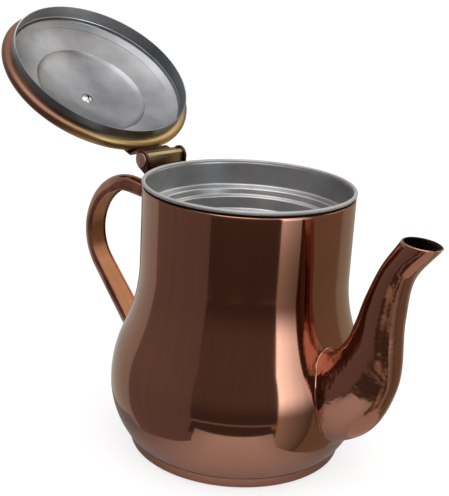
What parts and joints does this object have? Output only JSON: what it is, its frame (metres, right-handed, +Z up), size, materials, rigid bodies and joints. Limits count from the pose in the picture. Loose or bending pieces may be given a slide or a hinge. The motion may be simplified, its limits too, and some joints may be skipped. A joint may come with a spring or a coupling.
{
  "type": "spouted coffee pot",
  "caption": "Pear-bodied metal coffee pot with a curved spout, a loop handle, a lid hinged on a pin and a lift-out infuser basket, shown with the lid thrown open.",
  "frame": {"origin": "centre of the foot's flat underside, on the pot's axis", "axes": "+Z up along the pot's axis, +X towards the spout, -X towards the handle and the lid's hinge"},
  "size_m": [0.2649, 0.1248, 0.1988],
  "materials": {
    "copper_finish": "mirror-polished sheet steel with a copper-coloured coating",
    "satin_steel": "satin stainless sheet",
    "bright_steel": "bright turned or pressed steel"
  },
  "bodies": {
    "pot": {"body_shell": "copper_finish", "foot_ring": "copper_finish", "base_plate": "copper_finish", "spout_left_half": "copper_finish", "spout_right_half": "copper_finish", "handle_shell": "copper_finish", "handle_strip": "copper_finish", "hinge_bracket": "copper_finish", "hinge_pin": "bright_steel"},
    "lid": {"hinge_leaf": "copper_finish", "lid_shell": "copper_finish", "lid_skirt": "satin_steel", "knob_washer": "bright_steel", "lid_knob": "copper_finish", "knob_screw": "bright_steel"},
    "basket": {"basket_collar": "satin_steel", "basket_cup": "satin_steel", "basket_strainer": "satin_steel"}
  },
  "joints": [
    {"name": "lid_hinge", "type": "hinge", "parent": "pot", "child": "lid", "pos_m": [-0.0619, 0, 0.1316], "axis": [0, 1, 0], "range_deg": [0, 145.6]},
    {"name": "basket_turn", "type": "hinge", "parent": "pot", "child": "basket", "pos_m": [0, 0, 0.13], "axis": [0, 0, 1], "continuous": true}
  ]
}
